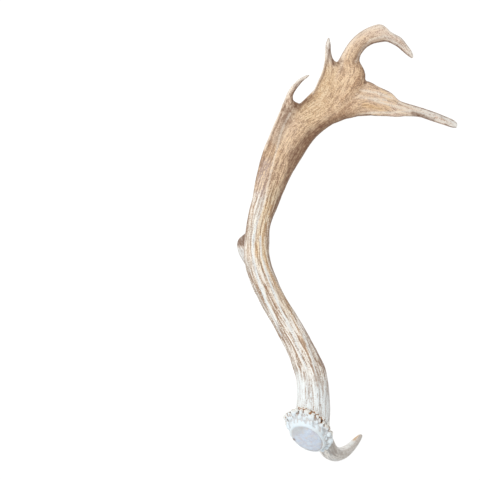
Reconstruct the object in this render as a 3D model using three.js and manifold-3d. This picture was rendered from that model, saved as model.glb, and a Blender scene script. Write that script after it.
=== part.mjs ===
// A cast fallow deer antler, lying on its tines with its back uppermost.
// Millimetres, +Z up. X runs across the antler and Y from the burr to the palm.
// Z = 0 is the surface that the tips of the brow, trez and end tines rest on.

import * as THREE from "three";
import { mergeVertices } from "three/addons/utils/BufferGeometryUtils.js";
import Module from "manifold-3d";

const wasm = await Module();
wasm.setup();

// ---------------------------------------------------------------- driving dimensions

const JOINT_GAP = 0.3; // between two pieces that meet at a fork
const SLIVER = 0.12; // facets that leave the surface by less than this are merged
const BEAM_FURROWS = 14; // vascular furrows round the main beam
const FURROW_DEPTH = 0.75; // of a furrow in the main beam
const PALM_FURROW_DEPTH = 0.45; // of the shallower furrows that fan over the palm

const BURR = {
  centre: new THREE.Vector3(-47.7, -222.5, 73.4),
  facing: new THREE.Vector3(-0.429, -0.688, 0.585), // out of the seal, away from the beam
  sideways: new THREE.Vector3(0.849, -0.529, 0), // level, across the seal
  radius: 27.6, // to the middle of the ring of pearls
  pearls: 24,
  pearlSize: 4.7,
  smallPearls: 18,
  smallPearlSize: 3,
};

const SEAL_RADIUS = 20.4;
const SEAL_FLAT_RADIUS = 13; // the level middle of the domed seal
const SEAL_HEIGHT = 17; // from the plane of the burr to the top of the seal
const SEAL_LEAN = 5; // how far the seal sits sideways from the middle of the burr
const COLLAR_SIDES = 30;

// A flat limb is a list of ribs, each
// [left edge x, y, right edge x, y, height of the middle, thickness].
const BEAM_RIBS = [
  [-62.5, -217.5, -23.5, -224.7, 75, 36],
  [-61.5, -198.1, -21.6, -200.7, 68, 36.5],
  [-60.9, -179.1, -22.5, -177.9, 61.5, 34.5],
  [-62.1, -160.5, -27.3, -152.1, 57, 32.5],
  [-66.4, -146.7, -35, -134.7, 54.5, 31],
  [-76.4, -124.4, -47.3, -109.9, 52, 30],
  [-89, -101.1, -62, -85.3, 50.5, 29],
  [-103.4, -76.5, -76, -61.9, 50, 28.5],
  [-115.4, -50.6, -86.6, -39.4, 50.5, 29],
  [-122.6, -28.3, -92.7, -20.9, 51.5, 30],
  [-123.5, -2.7, -94.3, -2.7, 52.5, 28.5],
  [-120.8, 23.8, -93.2, 18.8, 53.5, 27],
  [-113.2, 56.3, -83, 46.3, 54.5, 26],
  [-106.1, 87.5, -70.9, 75.1, 55.5, 25],
  [-97.1, 121.6, -56.1, 101, 56.5, 24],
  [-78.5, 151, -38.1, 126.9, 57, 22],
  [-55.2, 168.9, -12.9, 144.9, 57, 19],
  [-37.6, 186, 9.9, 150.9, 56, 16],
  [-22, 199, 24.3, 156.9, 54, 12],
];

const HOOK_RIBS = [
  [-42.9, 152, -4.5, 149.7, 57, 17],
  [-31, 190.5, 14.7, 174.9, 57, 16],
  [-16.5, 209.7, 21.3, 201.3, 56.5, 15],
  [-6.5, 221.7, 14.5, 218.7, 55.5, 14.5],
  [1.5, 238.5, 18.9, 230.1, 54, 14],
  [12.3, 251.1, 26.7, 236.7, 52, 14],
  [26.7, 259.1, 35.1, 240.5, 49, 13.5],
  [40.5, 262.1, 43.5, 242.1, 45, 12.5],
  [51.9, 252.6, 49.5, 241.3, 41.5, 11],
  [63.3, 246.3, 58.5, 237.5, 37, 9.5],
  [70.5, 238.1, 65.7, 231.8, 32, 8],
  [76.3, 230.1, 72.1, 226, 27, 5.5],
  [78.5, 224.1, 77.1, 222.4, 24.5, 2],
];

const END_RIBS = [
  [-35.7, 171.3, -18.9, 141.9, 57, 17],
  [-3.3, 190.5, 2.7, 149.7, 56, 15.5],
  [21.9, 194.1, 23.1, 152.6, 53, 14],
  [37.5, 186.9, 37.5, 152.6, 49.5, 13],
  [51.9, 179.7, 49.5, 151.9, 45, 12.5],
  [61.5, 170.5, 60.3, 151.3, 41, 12.5],
  [75.9, 165.1, 72.9, 152.1, 34, 12],
  [89.1, 160.9, 85.9, 151, 26.5, 11],
  [103.5, 155.7, 99.9, 146.6, 18, 9.5],
  [117.9, 150.1, 114.3, 142.1, 9, 8],
  [127.5, 144.7, 124.5, 139.4, 2.6, 6],
  [132.6, 140.1, 130.8, 138.2, 0.8, 2.5],
];

const UPPER_SPUR_RIBS = [
  [-34, 184, -8.1, 178.5, 58, 12],
  [-32, 194.6, -9, 197, 58, 11],
  [-27.6, 205.2, -9.6, 211, 59, 9.5],
  [-26.1, 216.3, -16.4, 217.8, 60.5, 8],
  [-26.1, 228.3, -19.9, 228.9, 62.5, 6.5],
  [-25.1, 237.3, -20.2, 237.3, 65, 4.5],
  [-23, 245.7, -21.3, 245.7, 67, 1.8],
];

const LOWER_SPUR_RIBS = [
  [-95.7, 123.3, -76.5, 116.1, 57, 18],
  [-89.7, 139.5, -65.7, 134.1, 59.5, 16],
  [-82.5, 156.9, -58.5, 154.5, 61.5, 13],
  [-76.5, 171.3, -64, 166.2, 64, 10],
  [-71.7, 181.5, -64.5, 177.3, 66.5, 8],
  [-65.5, 190.5, -59.7, 186.1, 68.5, 6.5],
  [-57.3, 197.3, -53.9, 193.3, 70, 5],
  [-50.1, 200.8, -48.5, 197.7, 71, 3.5],
  [-45.8, 201.8, -45.5, 200.3, 71.5, 1.5],
];

// A round tine is a list of [x, y, z, radius] down its middle.
const BROW_LINE = [
  [-35.7, -227.1, 64, 13],
  [-28.5, -237.9, 53, 11],
  [-23, -249.2, 41.5, 9.9],
  [-15.3, -254.5, 30.5, 8.3],
  [-5.7, -252.7, 20, 7],
  [3.1, -245.7, 11, 5.6],
  [10.3, -237.9, 4.6, 4.2],
  [14.9, -232.6, 1.9, 2.4],
  [16.9, -230.6, 1, 1],
];

const TREZ_LINE = [
  [-107.7, -25.5, 50, 12],
  [-116.1, -17.7, 41, 10.5],
  [-122.7, -8.7, 31, 8.6],
  [-125.3, -0.9, 22, 7.6],
  [-120.5, 5.4, 14, 6.2],
  [-115, 11.4, 7.4, 4.8],
  [-110, 16.5, 3.2, 3.4],
  [-106.3, 20, 1.4, 1.9],
];

// Where the antler forks: a point on each fork and the way the limb grows there.
const PALM_FORK = { at: [-88.5, 81.3, 55], along: [0.334, 0.943, 0] };
const HOOK_FORK = { at: [4, 220.2, 55.5], along: [0.26, 0.965, 0] };
const END_FORK = { at: [60.9, 160.9, 41], along: [0.875, -0.266, -0.406] };

// ---------------------------------------------------------------- solids

function toSolid(geometry) {
  const bare = geometry.clone();
  bare.deleteAttribute("normal");
  bare.deleteAttribute("uv");
  const merged = mergeVertices(bare, 1e-4);
  const corners = merged.index.array;
  const kept = [];
  for (let i = 0; i < corners.length; i += 3) {
    const [a, b, c] = [corners[i], corners[i + 1], corners[i + 2]];
    if (a !== b && b !== c && c !== a) kept.push(a, b, c);
  }
  return new wasm.Manifold(
    new wasm.Mesh({
      numProp: 3,
      vertProperties: merged.attributes.position.array,
      triVerts: new Uint32Array(kept),
    }),
  );
}

function toGeometry(solid) {
  const mesh = solid.simplify(SLIVER).getMesh();
  const geometry = new THREE.BufferGeometry();
  geometry.setAttribute("position", new THREE.BufferAttribute(mesh.vertProperties, 3));
  geometry.setIndex(new THREE.BufferAttribute(mesh.triVerts, 1));
  geometry.computeVertexNormals();
  return geometry;
}

const unionOf = (...solids) => solids.reduce((all, solid) => all.add(solid));

// The half of a solid on the side that the fork's limb grows to, or on the other side.
function halfOf(solid, fork, side) {
  const normal = new THREE.Vector3(...fork.along).normalize().multiplyScalar(side);
  const offset = normal.dot(new THREE.Vector3(...fork.at)) + JOINT_GAP / 2;
  return solid.trimByPlane(normal.toArray(), offset);
}
const beyond = (solid, fork) => halfOf(solid, fork, 1);
const before = (solid, fork) => halfOf(solid, fork, -1);
const aboveRest = (solid) => solid.trimByPlane([0, 0, 1], 0);

const smooth = (points) => new THREE.CatmullRomCurve3(points, false, "catmullrom", 0.5);

// ---------------------------------------------------------------- limbs

// Bends a unit cylinder along a limb. frameAt(t) gives the middle of the section at t
// and its two half axes; relief(t, angle) is what a ridge adds or a furrow takes off.
function bentCylinder(sides, rings, frameAt, relief) {
  const skin = new THREE.CylinderGeometry(1, 1, 1, sides, rings);
  const position = skin.attributes.position;
  for (let i = 0; i < position.count; i++) {
    const x = position.getX(i);
    const z = position.getZ(i);
    const along = position.getY(i) + 0.5;
    const angle = Math.atan2(z, x);
    const { middle, across, up } = frameAt(along);
    const spot = middle.clone().addScaledVector(across, x).addScaledVector(up, z);
    const outward = spot.clone().sub(middle);
    if (outward.length() > 0) spot.addScaledVector(outward.normalize(), relief(along, angle));
    position.setXYZ(i, spot.x, spot.y, spot.z);
  }
  return toSolid(skin);
}

// A limb that lies flat, through ribs. Its sections are rounded plates.
function flatLimb(ribs, { sides, ringsPerRib, relief, grow = 0 }) {
  const left = smooth(ribs.map(([x, y, , , z]) => new THREE.Vector3(x, y, z)));
  const right = smooth(ribs.map(([, , x, y, z]) => new THREE.Vector3(x, y, z)));
  const thick = smooth(ribs.map((rib) => new THREE.Vector3(rib[5], 0, 0)));
  const middleAt = (t) => left.getPoint(t).lerp(right.getPoint(t), 0.5);
  const step = 1e-3;
  const frameAt = (t) => {
    const growth = middleAt(Math.min(t + step, 1)).sub(middleAt(Math.max(t - step, 0)));
    const across = right.getPoint(t).sub(left.getPoint(t)).multiplyScalar(0.5);
    const up = across.clone().cross(growth).normalize();
    across.setLength(across.length() + grow);
    up.multiplyScalar(thick.getPoint(t).x / 2 + grow);
    return { middle: middleAt(t), across, up };
  };
  return bentCylinder(sides, Math.round((ribs.length - 1) * ringsPerRib), frameAt, relief);
}

// A round tine along its middle line. The furrows run down it to the bare tip.
function roundTine(line, { sides, ringsPerRib, relief }) {
  const middle = smooth(line.map(([x, y, z]) => new THREE.Vector3(x, y, z)));
  const radius = smooth(line.map((stop) => new THREE.Vector3(stop[3], 0, 0)));
  const palmward = new THREE.Vector3(0, 1, 0.2).normalize();
  const frameAt = (t) => {
    const size = radius.getPoint(t).x;
    const growth = middle.getTangent(t);
    const across = growth.clone().cross(palmward).setLength(size);
    const up = across.clone().cross(growth).setLength(size);
    return { middle: middle.getPoint(t), across, up };
  };
  return bentCylinder(sides, (line.length - 1) * ringsPerRib, frameAt, relief);
}

// ---------------------------------------------------------------- surface relief

// Ridges and furrows side by side, deeper and shallower by turns, fading from one depth
// at the root of a limb to another at its end.
function furrowed(count, rootDepth, endDepth) {
  return (t, angle) => {
    const uneven = 0.65 + 0.35 * Math.sin(3 * angle + 5 * t);
    return Math.cos(count * angle) * uneven * THREE.MathUtils.lerp(rootDepth, endDepth, t);
  };
}

// ---------------------------------------------------------------- burr and seal

// The seal's dome, the smooth band round it and the collar under the pearls, one turned
// solid: [radius, height above the plane of the burr] from the beam's side to the seal.
const BURR_PROFILE = [
  [0, -15],
  [15, -13],
  [22, -7],
  [BURR.radius - 1.5, -3],
  [BURR.radius + 1, 1],
  [BURR.radius - 0.5, 5],
  [BURR.radius - 3.5, 10],
  [SEAL_RADIUS + 1.2, 14],
  [SEAL_RADIUS, 14.6],
  [SEAL_FLAT_RADIUS, SEAL_HEIGHT],
  [0, SEAL_HEIGHT],
];

// A steady stand-in for chance: from -1 to 1, different for each whole number.
const wobble = (n) => Math.sin(n * 12.9898 + 4.1);

function pearl(angle, ringRadius, height, size, roundness) {
  const bead = new THREE.IcosahedronGeometry(1, roundness);
  bead.rotateX(angle * 7);
  bead.scale(size, size * 0.95, size * 0.9);
  bead.rotateY(-angle);
  bead.translate(ringRadius * Math.cos(angle), height, ringRadius * Math.sin(angle));
  return bead;
}

function sealAndCollar(grow) {
  const turned = new THREE.LatheGeometry(
    BURR_PROFILE.map(([r, h]) => new THREE.Vector2(r ? r + grow : 0, h)),
    COLLAR_SIDES,
  );
  const position = turned.attributes.position;
  for (let i = 0; i < position.count; i++) {
    const lean = SEAL_LEAN * Math.max(position.getY(i) / SEAL_HEIGHT, 0);
    position.setX(i, position.getX(i) + lean);
  }
  return turned;
}

function burr(grow = 0) {
  const pieces = [sealAndCollar(grow)];
  for (let i = 0; i < BURR.pearls; i++) {
    const angle = ((i + 0.25 * wobble(i)) / BURR.pearls) * 2 * Math.PI;
    const size = BURR.pearlSize * (1 + 0.22 * wobble(i + 50)) + grow;
    const ring = BURR.radius + 1.2 * wobble(i + 90);
    pieces.push(pearl(angle, ring, 0.9 * wobble(i + 20), size, 1));
  }
  for (let i = 0; i < BURR.smallPearls; i++) {
    const angle = ((i + 0.3 * wobble(i + 7)) / BURR.smallPearls) * 2 * Math.PI;
    const size = BURR.smallPearlSize * (1 + 0.25 * wobble(i + 31)) + grow;
    pieces.push(pearl(angle, BURR.radius - 3.5, -5.5 + wobble(i), size, 0));
  }
  const facing = BURR.facing.clone().normalize();
  const sideways = BURR.sideways.clone().normalize();
  const onBeam = new THREE.Matrix4().makeBasis(sideways, facing, sideways.clone().cross(facing));
  onBeam.setPosition(BURR.centre);
  return unionOf(...pieces.map((piece) => toSolid(piece.applyMatrix4(onBeam))));
}

// ---------------------------------------------------------------- the whole antler

const BEAM_RELIEF = furrowed(BEAM_FURROWS, FURROW_DEPTH, 0.3 * FURROW_DEPTH);
const PALM_RELIEF = furrowed(10, PALM_FURROW_DEPTH, 0.3 * PALM_FURROW_DEPTH);
const TINE_RELIEF = furrowed(8, 0.4, 0);

const beamLimb = (grow = 0) =>
  flatLimb(BEAM_RIBS, { sides: 2 * BEAM_FURROWS, ringsPerRib: 1.5, relief: BEAM_RELIEF, grow });

function mainBeam(grow = 0) {
  return unionOf(before(beamLimb(grow), PALM_FORK), burr(grow));
}

const palmLimb = (ribs) => flatLimb(ribs, { sides: 20, ringsPerRib: 1.5, relief: PALM_RELIEF });
const spur = (ribs) => flatLimb(ribs, { sides: 12, ringsPerRib: 2, relief: TINE_RELIEF });
const tine = (line) => roundTine(line, { sides: 12, ringsPerRib: 2, relief: TINE_RELIEF });

const hook = palmLimb(HOOK_RIBS);
const end = palmLimb(END_RIBS);
const notBeam = mainBeam(JOINT_GAP);

const PIECES = {
  main_beam: { solid: mainBeam(), colour: 0xd8cbb8 },
  brow_tine: { solid: aboveRest(tine(BROW_LINE).subtract(notBeam)), colour: 0xc9c2b8 },
  trez_tine: { solid: aboveRest(tine(TREZ_LINE).subtract(notBeam)), colour: 0xb3a596 },
  palm: {
    solid: unionOf(
      beyond(beamLimb(), PALM_FORK),
      before(hook, HOOK_FORK),
      before(end, END_FORK),
      spur(UPPER_SPUR_RIBS),
      spur(LOWER_SPUR_RIBS),
    ),
    colour: 0xb8926a,
  },
  hooked_tine: { solid: beyond(hook, HOOK_FORK), colour: 0xc9a584 },
  end_tine: { solid: aboveRest(beyond(end, END_FORK)), colour: 0xcdb49b },
};

const antler = new THREE.Group();
antler.name = "deer_antler";
for (const [name, { solid, colour }] of Object.entries(PIECES)) {
  const bone = new THREE.MeshStandardMaterial({ color: colour, roughness: 0.6, metalness: 0 });
  const mesh = new THREE.Mesh(toGeometry(solid), bone);
  mesh.name = name;
  antler.add(mesh);
}

export default antler;
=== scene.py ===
"""A cast fallow deer antler, lying on its tine tips on a pale floor.

The antler is grown in two pieces: one skin over the beam, the palm and all the tines,
and the burr with its pearls and the seal that let go of the skull.
"""

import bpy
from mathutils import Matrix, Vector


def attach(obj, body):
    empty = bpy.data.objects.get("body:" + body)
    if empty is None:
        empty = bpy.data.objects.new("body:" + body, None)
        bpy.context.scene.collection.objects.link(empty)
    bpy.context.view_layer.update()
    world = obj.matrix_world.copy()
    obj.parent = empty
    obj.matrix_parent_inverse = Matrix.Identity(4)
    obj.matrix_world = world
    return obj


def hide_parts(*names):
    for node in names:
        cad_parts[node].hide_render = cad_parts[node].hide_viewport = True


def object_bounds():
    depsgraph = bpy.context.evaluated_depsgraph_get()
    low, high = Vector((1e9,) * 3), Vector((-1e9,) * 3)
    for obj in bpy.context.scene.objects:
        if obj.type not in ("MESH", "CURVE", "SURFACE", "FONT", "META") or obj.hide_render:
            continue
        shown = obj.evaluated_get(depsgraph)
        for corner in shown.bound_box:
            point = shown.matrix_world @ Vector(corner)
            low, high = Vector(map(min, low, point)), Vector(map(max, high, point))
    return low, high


bl_info = {
    "name": "Cast Deer Antler",
    "version": (1, 0, 0),
    "blender": (4, 5, 0),
    "location": "View3D > Sidebar > Antler",
    "description": "Grows a cast fallow deer antler with its furrows, pearls and stains",
    "category": "Add Mesh",
}

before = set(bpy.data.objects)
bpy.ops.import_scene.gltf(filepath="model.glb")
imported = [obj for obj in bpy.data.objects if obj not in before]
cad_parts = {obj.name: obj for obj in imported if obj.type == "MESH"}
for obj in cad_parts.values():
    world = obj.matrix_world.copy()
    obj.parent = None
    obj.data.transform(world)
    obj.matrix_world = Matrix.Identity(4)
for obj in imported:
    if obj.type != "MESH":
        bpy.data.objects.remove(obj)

import math
from types import SimpleNamespace

import bmesh
import bpy
import numpy as np
from mathutils import Matrix, Vector

CAD_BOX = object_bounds()
MM = 0.001

# ---------------------------------------------------------------- how the antler grows

# A flat limb is a list of ribs, in millimetres, each
# [left edge x, y, right edge x, y, height of the middle, thickness].
BEAM_RIBS = [
    [-62.5, -217.5, -23.5, -224.7, 75, 36],
    [-61.5, -198.1, -21.6, -200.7, 68, 36.5],
    [-60.9, -179.1, -22.5, -177.9, 61.5, 34.5],
    [-62.1, -160.5, -27.3, -152.1, 57, 32.5],
    [-66.4, -146.7, -35, -134.7, 54.5, 31],
    [-76.4, -124.4, -47.3, -109.9, 52, 30],
    [-89, -101.1, -62, -85.3, 50.5, 29],
    [-103.4, -76.5, -76, -61.9, 50, 28.5],
    [-115.4, -50.6, -86.6, -39.4, 50.5, 29],
    [-122.6, -28.3, -92.7, -20.9, 51.5, 30],
    [-123.5, -2.7, -94.3, -2.7, 52.5, 28.5],
    [-120.8, 23.8, -93.2, 18.8, 53.5, 27],
    [-114.9, 56.8, -83.8, 46.5, 54.5, 26],
    [-107.7, 88.1, -71.5, 75.3, 55.5, 25],
    [-97.1, 121.6, -56.1, 101, 56.5, 24],
    [-78.5, 151, -38.1, 126.9, 57, 22],
    [-55.2, 168.9, -12.9, 144.9, 57, 19],
    [-37.6, 186, 9.9, 150.9, 56, 16],
    [-22, 199, 24.3, 156.9, 54, 12],
]
HOOK_RIBS = [
    [-42.9, 152, -4.5, 149.7, 57, 17],
    [-31, 190.5, 14.7, 174.9, 57, 16],
    [-16.5, 209.7, 21.3, 201.3, 56.5, 15],
    [-9.5, 222.5, 14.5, 218.7, 55.5, 14.5],
    [0.5, 239, 18.9, 230.1, 54, 14],
    [12.3, 251.1, 26.7, 236.7, 52, 14],
    [26.7, 259.3, 34.9, 239.8, 49, 13.5],
    [40.5, 261.6, 43.6, 241.3, 45, 12.5],
    [52.2, 253, 49.2, 240.5, 41.5, 11],
    [63.9, 246.9, 57.9, 236.6, 37, 9.5],
    [71.3, 238.7, 65, 231, 32, 8],
    [77.2, 230.6, 71.6, 225.3, 27, 5.8],
    [79.8, 223.8, 77.4, 221.4, 24.5, 2.6],
]
END_RIBS = [
    [-35.7, 171.3, -18.9, 141.9, 57, 17],
    [-3.3, 190.5, 2.7, 149.7, 56, 15.5],
    [21.9, 194.1, 23.1, 152.1, 53, 14],
    [37.5, 187.2, 37.5, 151.9, 49.5, 13],
    [52, 180.3, 49.5, 151.7, 45, 12.5],
    [61.8, 171.4, 60.3, 151.3, 41, 12.5],
    [76.2, 166.3, 72.9, 152.1, 34, 12],
    [89.4, 162.4, 85.9, 151.2, 26.5, 11],
    [103.8, 157.5, 99.9, 146.8, 18, 9.5],
    [118.3, 152, 114.3, 142.1, 9, 8],
    [128, 148, 124.5, 139, 3.6, 6.8],
    [132.6, 143.8, 131.4, 138, 2.2, 4.4],
]
UPPER_SPUR_RIBS = [
    [-41, 182, -8.1, 178.5, 58, 12],
    [-35.8, 193.5, -9, 197, 58, 11.5],
    [-31, 205.2, -9, 213, 59, 10.5],
    [-28.4, 216.3, -17, 219.4, 60.5, 9],
    [-27.8, 228.3, -20, 228.9, 62.5, 7],
    [-27, 237.3, -20.4, 237.3, 65, 5],
    [-24.2, 245.7, -21.9, 245.7, 67, 2.2],
]
LOWER_SPUR_RIBS = [
    [-95.7, 123.3, -76.5, 116.1, 57, 18],
    [-89.7, 139.5, -65.7, 134.1, 59.5, 16],
    [-82.5, 156.9, -56.5, 163, 61.5, 13],
    [-76.5, 171.3, -64.6, 170, 64, 10],
    [-71.7, 181.5, -65, 177.5, 66.5, 8],
    [-65.5, 190.5, -59.7, 186.1, 68.5, 6.5],
    [-57.3, 197.3, -53.9, 193.3, 70, 5],
    [-50.1, 200.8, -48.5, 197.7, 71, 3.5],
    [-45.8, 201.8, -45.5, 200.3, 71.5, 1.5],
]
# A round tine is a list of [x, y, z, radius] down its middle.
BROW_LINE = [
    [-35.7, -227.1, 64, 13],
    [-28.5, -237.9, 53, 11.2],
    [-22.6, -248.9, 41.5, 10.4],
    [-15, -254, 30.5, 8.9],
    [-5.4, -252.8, 20, 7.5],
    [3.5, -246.4, 11, 6],
    [11.1, -238.3, 4.8, 4.5],
    [15.8, -232.8, 2.2, 2.8],
    [17.2, -231, 1.2, 1.4],
]
TREZ_LINE = [
    [-107.7, -25.5, 50, 12],
    [-116.1, -17.7, 41, 10.8],
    [-122.4, -8.7, 31, 9.4],
    [-124.7, -0.9, 22, 8.1],
    [-120.5, 5.4, 14, 6.4],
    [-115, 11.4, 7.4, 4.8],
    [-110, 16.5, 3.2, 3.4],
    [-106.3, 20, 1.4, 1.9],
]

BURR_CENTRE = Vector((-47.2, -222.2, 73.4)) * MM
BURR_FACING = Vector((-0.429, -0.688, 0.585)).normalized()  # out of the seal
BURR_SIDEWAYS = Vector((0.849, -0.529, 0)).normalized()
BURR_RADIUS = 27.6  # to the middle of the ring of pearls
BURR_SWELL = 1.6  # how far the ring bulges on its broad side
SEAL_RADIUS = 19.7
SEAL_HEIGHT = 17
SEAL_LEAN = 6.4  # how far the seal's middle is off the ring's

# Ridges, veins, stains, painted shade and painted highlights that run over the upper side,
# as points [x, y] in millimetres.
PALE_RIDGE = [
    (-80, -110), (-87, -92), (-91.6, -82.7), (-97.6, -71.5), (-105, -51.4), (-109, -37.5),
    (-113, -22.7), (-114.4, -7.5), (-113.2, 7.3), (-109.7, 22.5), (-104.3, 37.3), (-100.3, 52.5),
    (-96.4, 67), (-93.4, 80), (-90, 94), (-85.7, 111), (-81.6, 128), (-76, 143), (-69, 155),
]
LEFT_SHADE = [(-88, 110), (-93, 92), (-98, 74), (-103, 56)]
SECOND_RIDGE = [
    (-50, -150), (-57, -134), (-65, -112), (-74, -93), (-80, -81), (-90, -57), (-98, -35),
    (-104, -15), (-105, 0), (-105, 8),
]
LEFT_BARE = [(-62, -158), (-57, -172), (-57, -186), (-55, -196)]
LEFT_CALM = [(-115, -34), (-105, -62), (-97, -80)]
MIDDLE_BARE = [
    (-53, -110), (-48.3, -122), (-43, -137.5), (-39.9, -152.7), (-38.4, -168), (-38, -183),
    (-37, -196),
]
OCHRE_STREAKS = [
    [(-96, 51), (-99, 40), (-105, 31), (-109, 18), (-111, 2), (-109, -16)],
    [(-98, 22), (-102, 8), (-102, -4), (-99, -18), (-94, -35), (-86, -50)],
    [(-86, -50), (-77, -66), (-70, -80), (-64, -94), (-57, -113), (-48, -134)],
    [(-92, 44), (-95, 33)],
]
VEINS = [
    [(-86, -95), (-81, -104), (-73, -116), (-68, -129), (-60, -142), (-55, -154)],
    [(-60, -129), (-55, -141), (-51, -155), (-48, -168), (-47, -182), (-50, -192)],
    [(-49, -114), (-45, -124), (-38, -146), (-35, -158), (-34, -170), (-34, -183), (-33, -195)],
    [(-33, -138), (-28, -152), (-25, -162), (-25, -177), (-26, -194)],
    [(-95, -14), (-92.5, -26), (-88, -39), (-78, -59), (-65.5, -80)],
]
PALM_VEINS = [
    [(3, 217), (-2, 205), (-7, 190)],
    [(10, 207), (6, 195), (3, 183)],
    [(-9, 157), (5, 165), (22, 171)],
    [(22, 244), (32, 248), (44, 249)],
]
# painted shade: a thin dark line down the beam's right edge, away from the light
DARK_EDGE = [
    (-69, 84), (-74, 74), (-81, 58), (-88, 40), (-94, 20), (-96, 3), (-95, -14), (-89, -34),
    (-80, -53), (-69, -71), (-58, -90), (-48, -111), (-38, -129), (-28, -150),
]
BEND_STAIN = [(-70, 101), (-64, 109), (-57, 118), (-50, 127), (-45, 134)]
BEND_SHADE = [(-70, 90), (-62, 104), (-50, 121), (-36, 137), (-22, 150), (-4, 160)]
BROWN_SIDE = [(-86, 92), (-86, 75), (-90, 55), (-94, 38)]
# painted shade along the right edge of the bend, away from the light
BEND_EDGE = [(-67, 92), (-57, 106), (-46, 121), (-31, 137), (-14, 148), (3, 153)]
# painted shade in the U of the notch between the lower spur and the palm
NOTCH = [(-65.5, 176), (-65, 170), (-61, 166.5), (-56, 166.5), (-50, 170)]
NOTCH_SHADE = [(-59, 162), (-65, 160), (-70, 155), (-74, 147)]
# painted shade in the hollow by the lower spur's root
PALM_HOLLOW = [(-71, 160), (-75, 148), (-80, 134), (-85, 120)]
PALM_LIGHT = [(-74, 128), (-62, 146), (-44, 162), (-26, 178)]
# painted shade: a thin dark line in the crotch between the hook and the end tine
PALM_RIM = [(17.5, 213.5), (20.7, 203.2), (23.1, 194.7)]
# painted shade: a thin dark line just inside the lit left rim of the palm
LEFT_RIM = [(-72.3, 172), (-78.4, 158), (-83.2, 146.5), (-87.6, 135.7), (-96, 114), (-104.4, 92)]
# painted shade in the crotch between the upper spur and the hook
CROTCH = [(-17, 214), (-13, 213), (-8, 218)]
# painted highlight: the lit left rims of the palm and the lower spur
LEFT_PALE = [
    (-49, 200.3), (-57, 196.4), (-65, 190), (-70.2, 181.8), (-76, 171), (-82, 156.6),
    (-89, 139.6), (-95.2, 123.2), (-100, 112),
]
# painted shade along the rim of the notch up to the upper spur, and a thin dark line inside it
NOTCH_RIM = [
    (-60, 165), (-54.5, 167), (-46, 173), (-40, 180), (-34, 191), (-29, 202), (-26, 213),
    (-23.6, 222), (-22.6, 230),
]
# painted highlight: the lit left edge of the upper spur
SPUR_PALE = [(-42, 179.5), (-37.5, 189), (-33, 199), (-29.6, 209), (-27.8, 222), (-26.8, 234)]
# painted shade on the lower spur's inner side, in the notch
SPUR_INNER = [(-64, 168), (-65, 177), (-62, 186), (-55, 194)]
# painted shade on the upper spur's right side
UPPER_SPUR_DARK = [(-17, 213), (-19.3, 221), (-21.2, 230), (-21.6, 238)]
HOOK_ROOT = [(5, 214), (8, 222), (12, 230), (20, 239)]
END_TAN = [(20, 165), (32, 163), (47, 162)]
END_PALE = [
    [(6, 174), (24, 174), (46, 171)],
    [(15, 183), (34, 180), (53, 174)],
    [(-3, 148), (10, 153), (29, 156), (52, 156), (75, 158)],
    [(10, 178), (30, 171), (52, 165), (80, 158), (104, 152)],
    [(62, 168), (84, 161), (108, 154), (128, 145)],
]
# painted shade on the end tine's lower edge, where it turns away from the light
END_DARK = [(78, 155.4), (87, 153), (95, 150), (102, 147)]
BROW_SPOT = [(8, -236.5), (10.5, -234), (12.5, -231.5)]
MAUVE = [(-104, 60), (-103, 74), (-101, 86), (-98, 96)]
OCHRE_WASH = [(-88, 58), (-98, 40), (-105, 20), (-106, 0), (-102, -17)]
YELLOW_WASH = [(-97, -34), (-88, -50), (-79, -67), (-72, -80)]
LEFT_CREAM = [(-105, 50), (-107.5, 40), (-111, 24), (-114, 6)]
LEFT_GREY = [
    (-120, -24), (-119, -44), (-108, -67), (-95, -91), (-81, -117), (-71, -139), (-65, -152),
]
PALM_GOLD = [(-29, 208), (-28, 190), (-36, 172), (-50, 158)]
HOOK_PALE = [
    [(-6, 226), (0, 236), (7, 244.5), (15, 251.5), (24, 257.5)],
    [(10, 217), (14.7, 229.4), (27.8, 243.5), (44.7, 248), (54, 242), (67.2, 235)],
]
FIBROUS = [(-84, 94), (-92, 72), (-94, 58)]
LEFT_TROUGH = [(-111, 51), (-106, 68), (-100, 87), (-92, 109), (-84, 128), (-75, 146)]

# What the strokes leave on the bone, real stains and painted shade alike, as (strength,
# width in millimetres, stroke), on the side that faces up or, for the rims, round to where
# it turns down. A hollow's strength is its depth in millimetres.
HOLLOWS = [(1.2, 4.5, LEFT_TROUGH), (0.9, 6, BEND_STAIN), (1.0, 6, NOTCH_SHADE)]
# PALM_HOLLOW is painted shade in the hollow by the lower spur's root
TAUPE_STROKES = [(0.4, 7, PALM_HOLLOW), (0.25, 4, LEFT_TROUGH)]
TAUPE_RIMS = [(0.7, 5, LEFT_GREY)]
# painted shade among these: BEND_SHADE, BEND_EDGE, NOTCH_SHADE, PALM_HOLLOW, NOTCH_RIM,
# SPUR_INNER, CROTCH and PALM_RIM
UMBER_STROKES = [
    (0.6, 5, BEND_STAIN), (0.25, 6, BEND_SHADE), (0.16, 8, BROWN_SIDE), (0.25, 2.6, LEFT_SHADE),
    (0.35, 3.5, BEND_EDGE), (0.55, 6, NOTCH_SHADE), (0.35, 4.5, PALM_HOLLOW), (0.2, 7, NOTCH_RIM),
    (0.9, 3, SPUR_INNER), (0.6, 2.6, CROTCH), (0.45, 1.5, PALM_RIM), (0.35, 3.5, HOOK_ROOT),
    (0.2, 7, FIBROUS),
]
# painted shade, round to where the surface turns down: the notch, the upper spur's right side, the
# end tine's lower edge and the beam's right edge
UMBER_RIMS = [
    (0.95, 3.4, NOTCH), (0.7, 1.8, UPPER_SPUR_DARK), (0.95, 2.5, END_DARK), (0.6, 1.6, DARK_EDGE),
]
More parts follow.
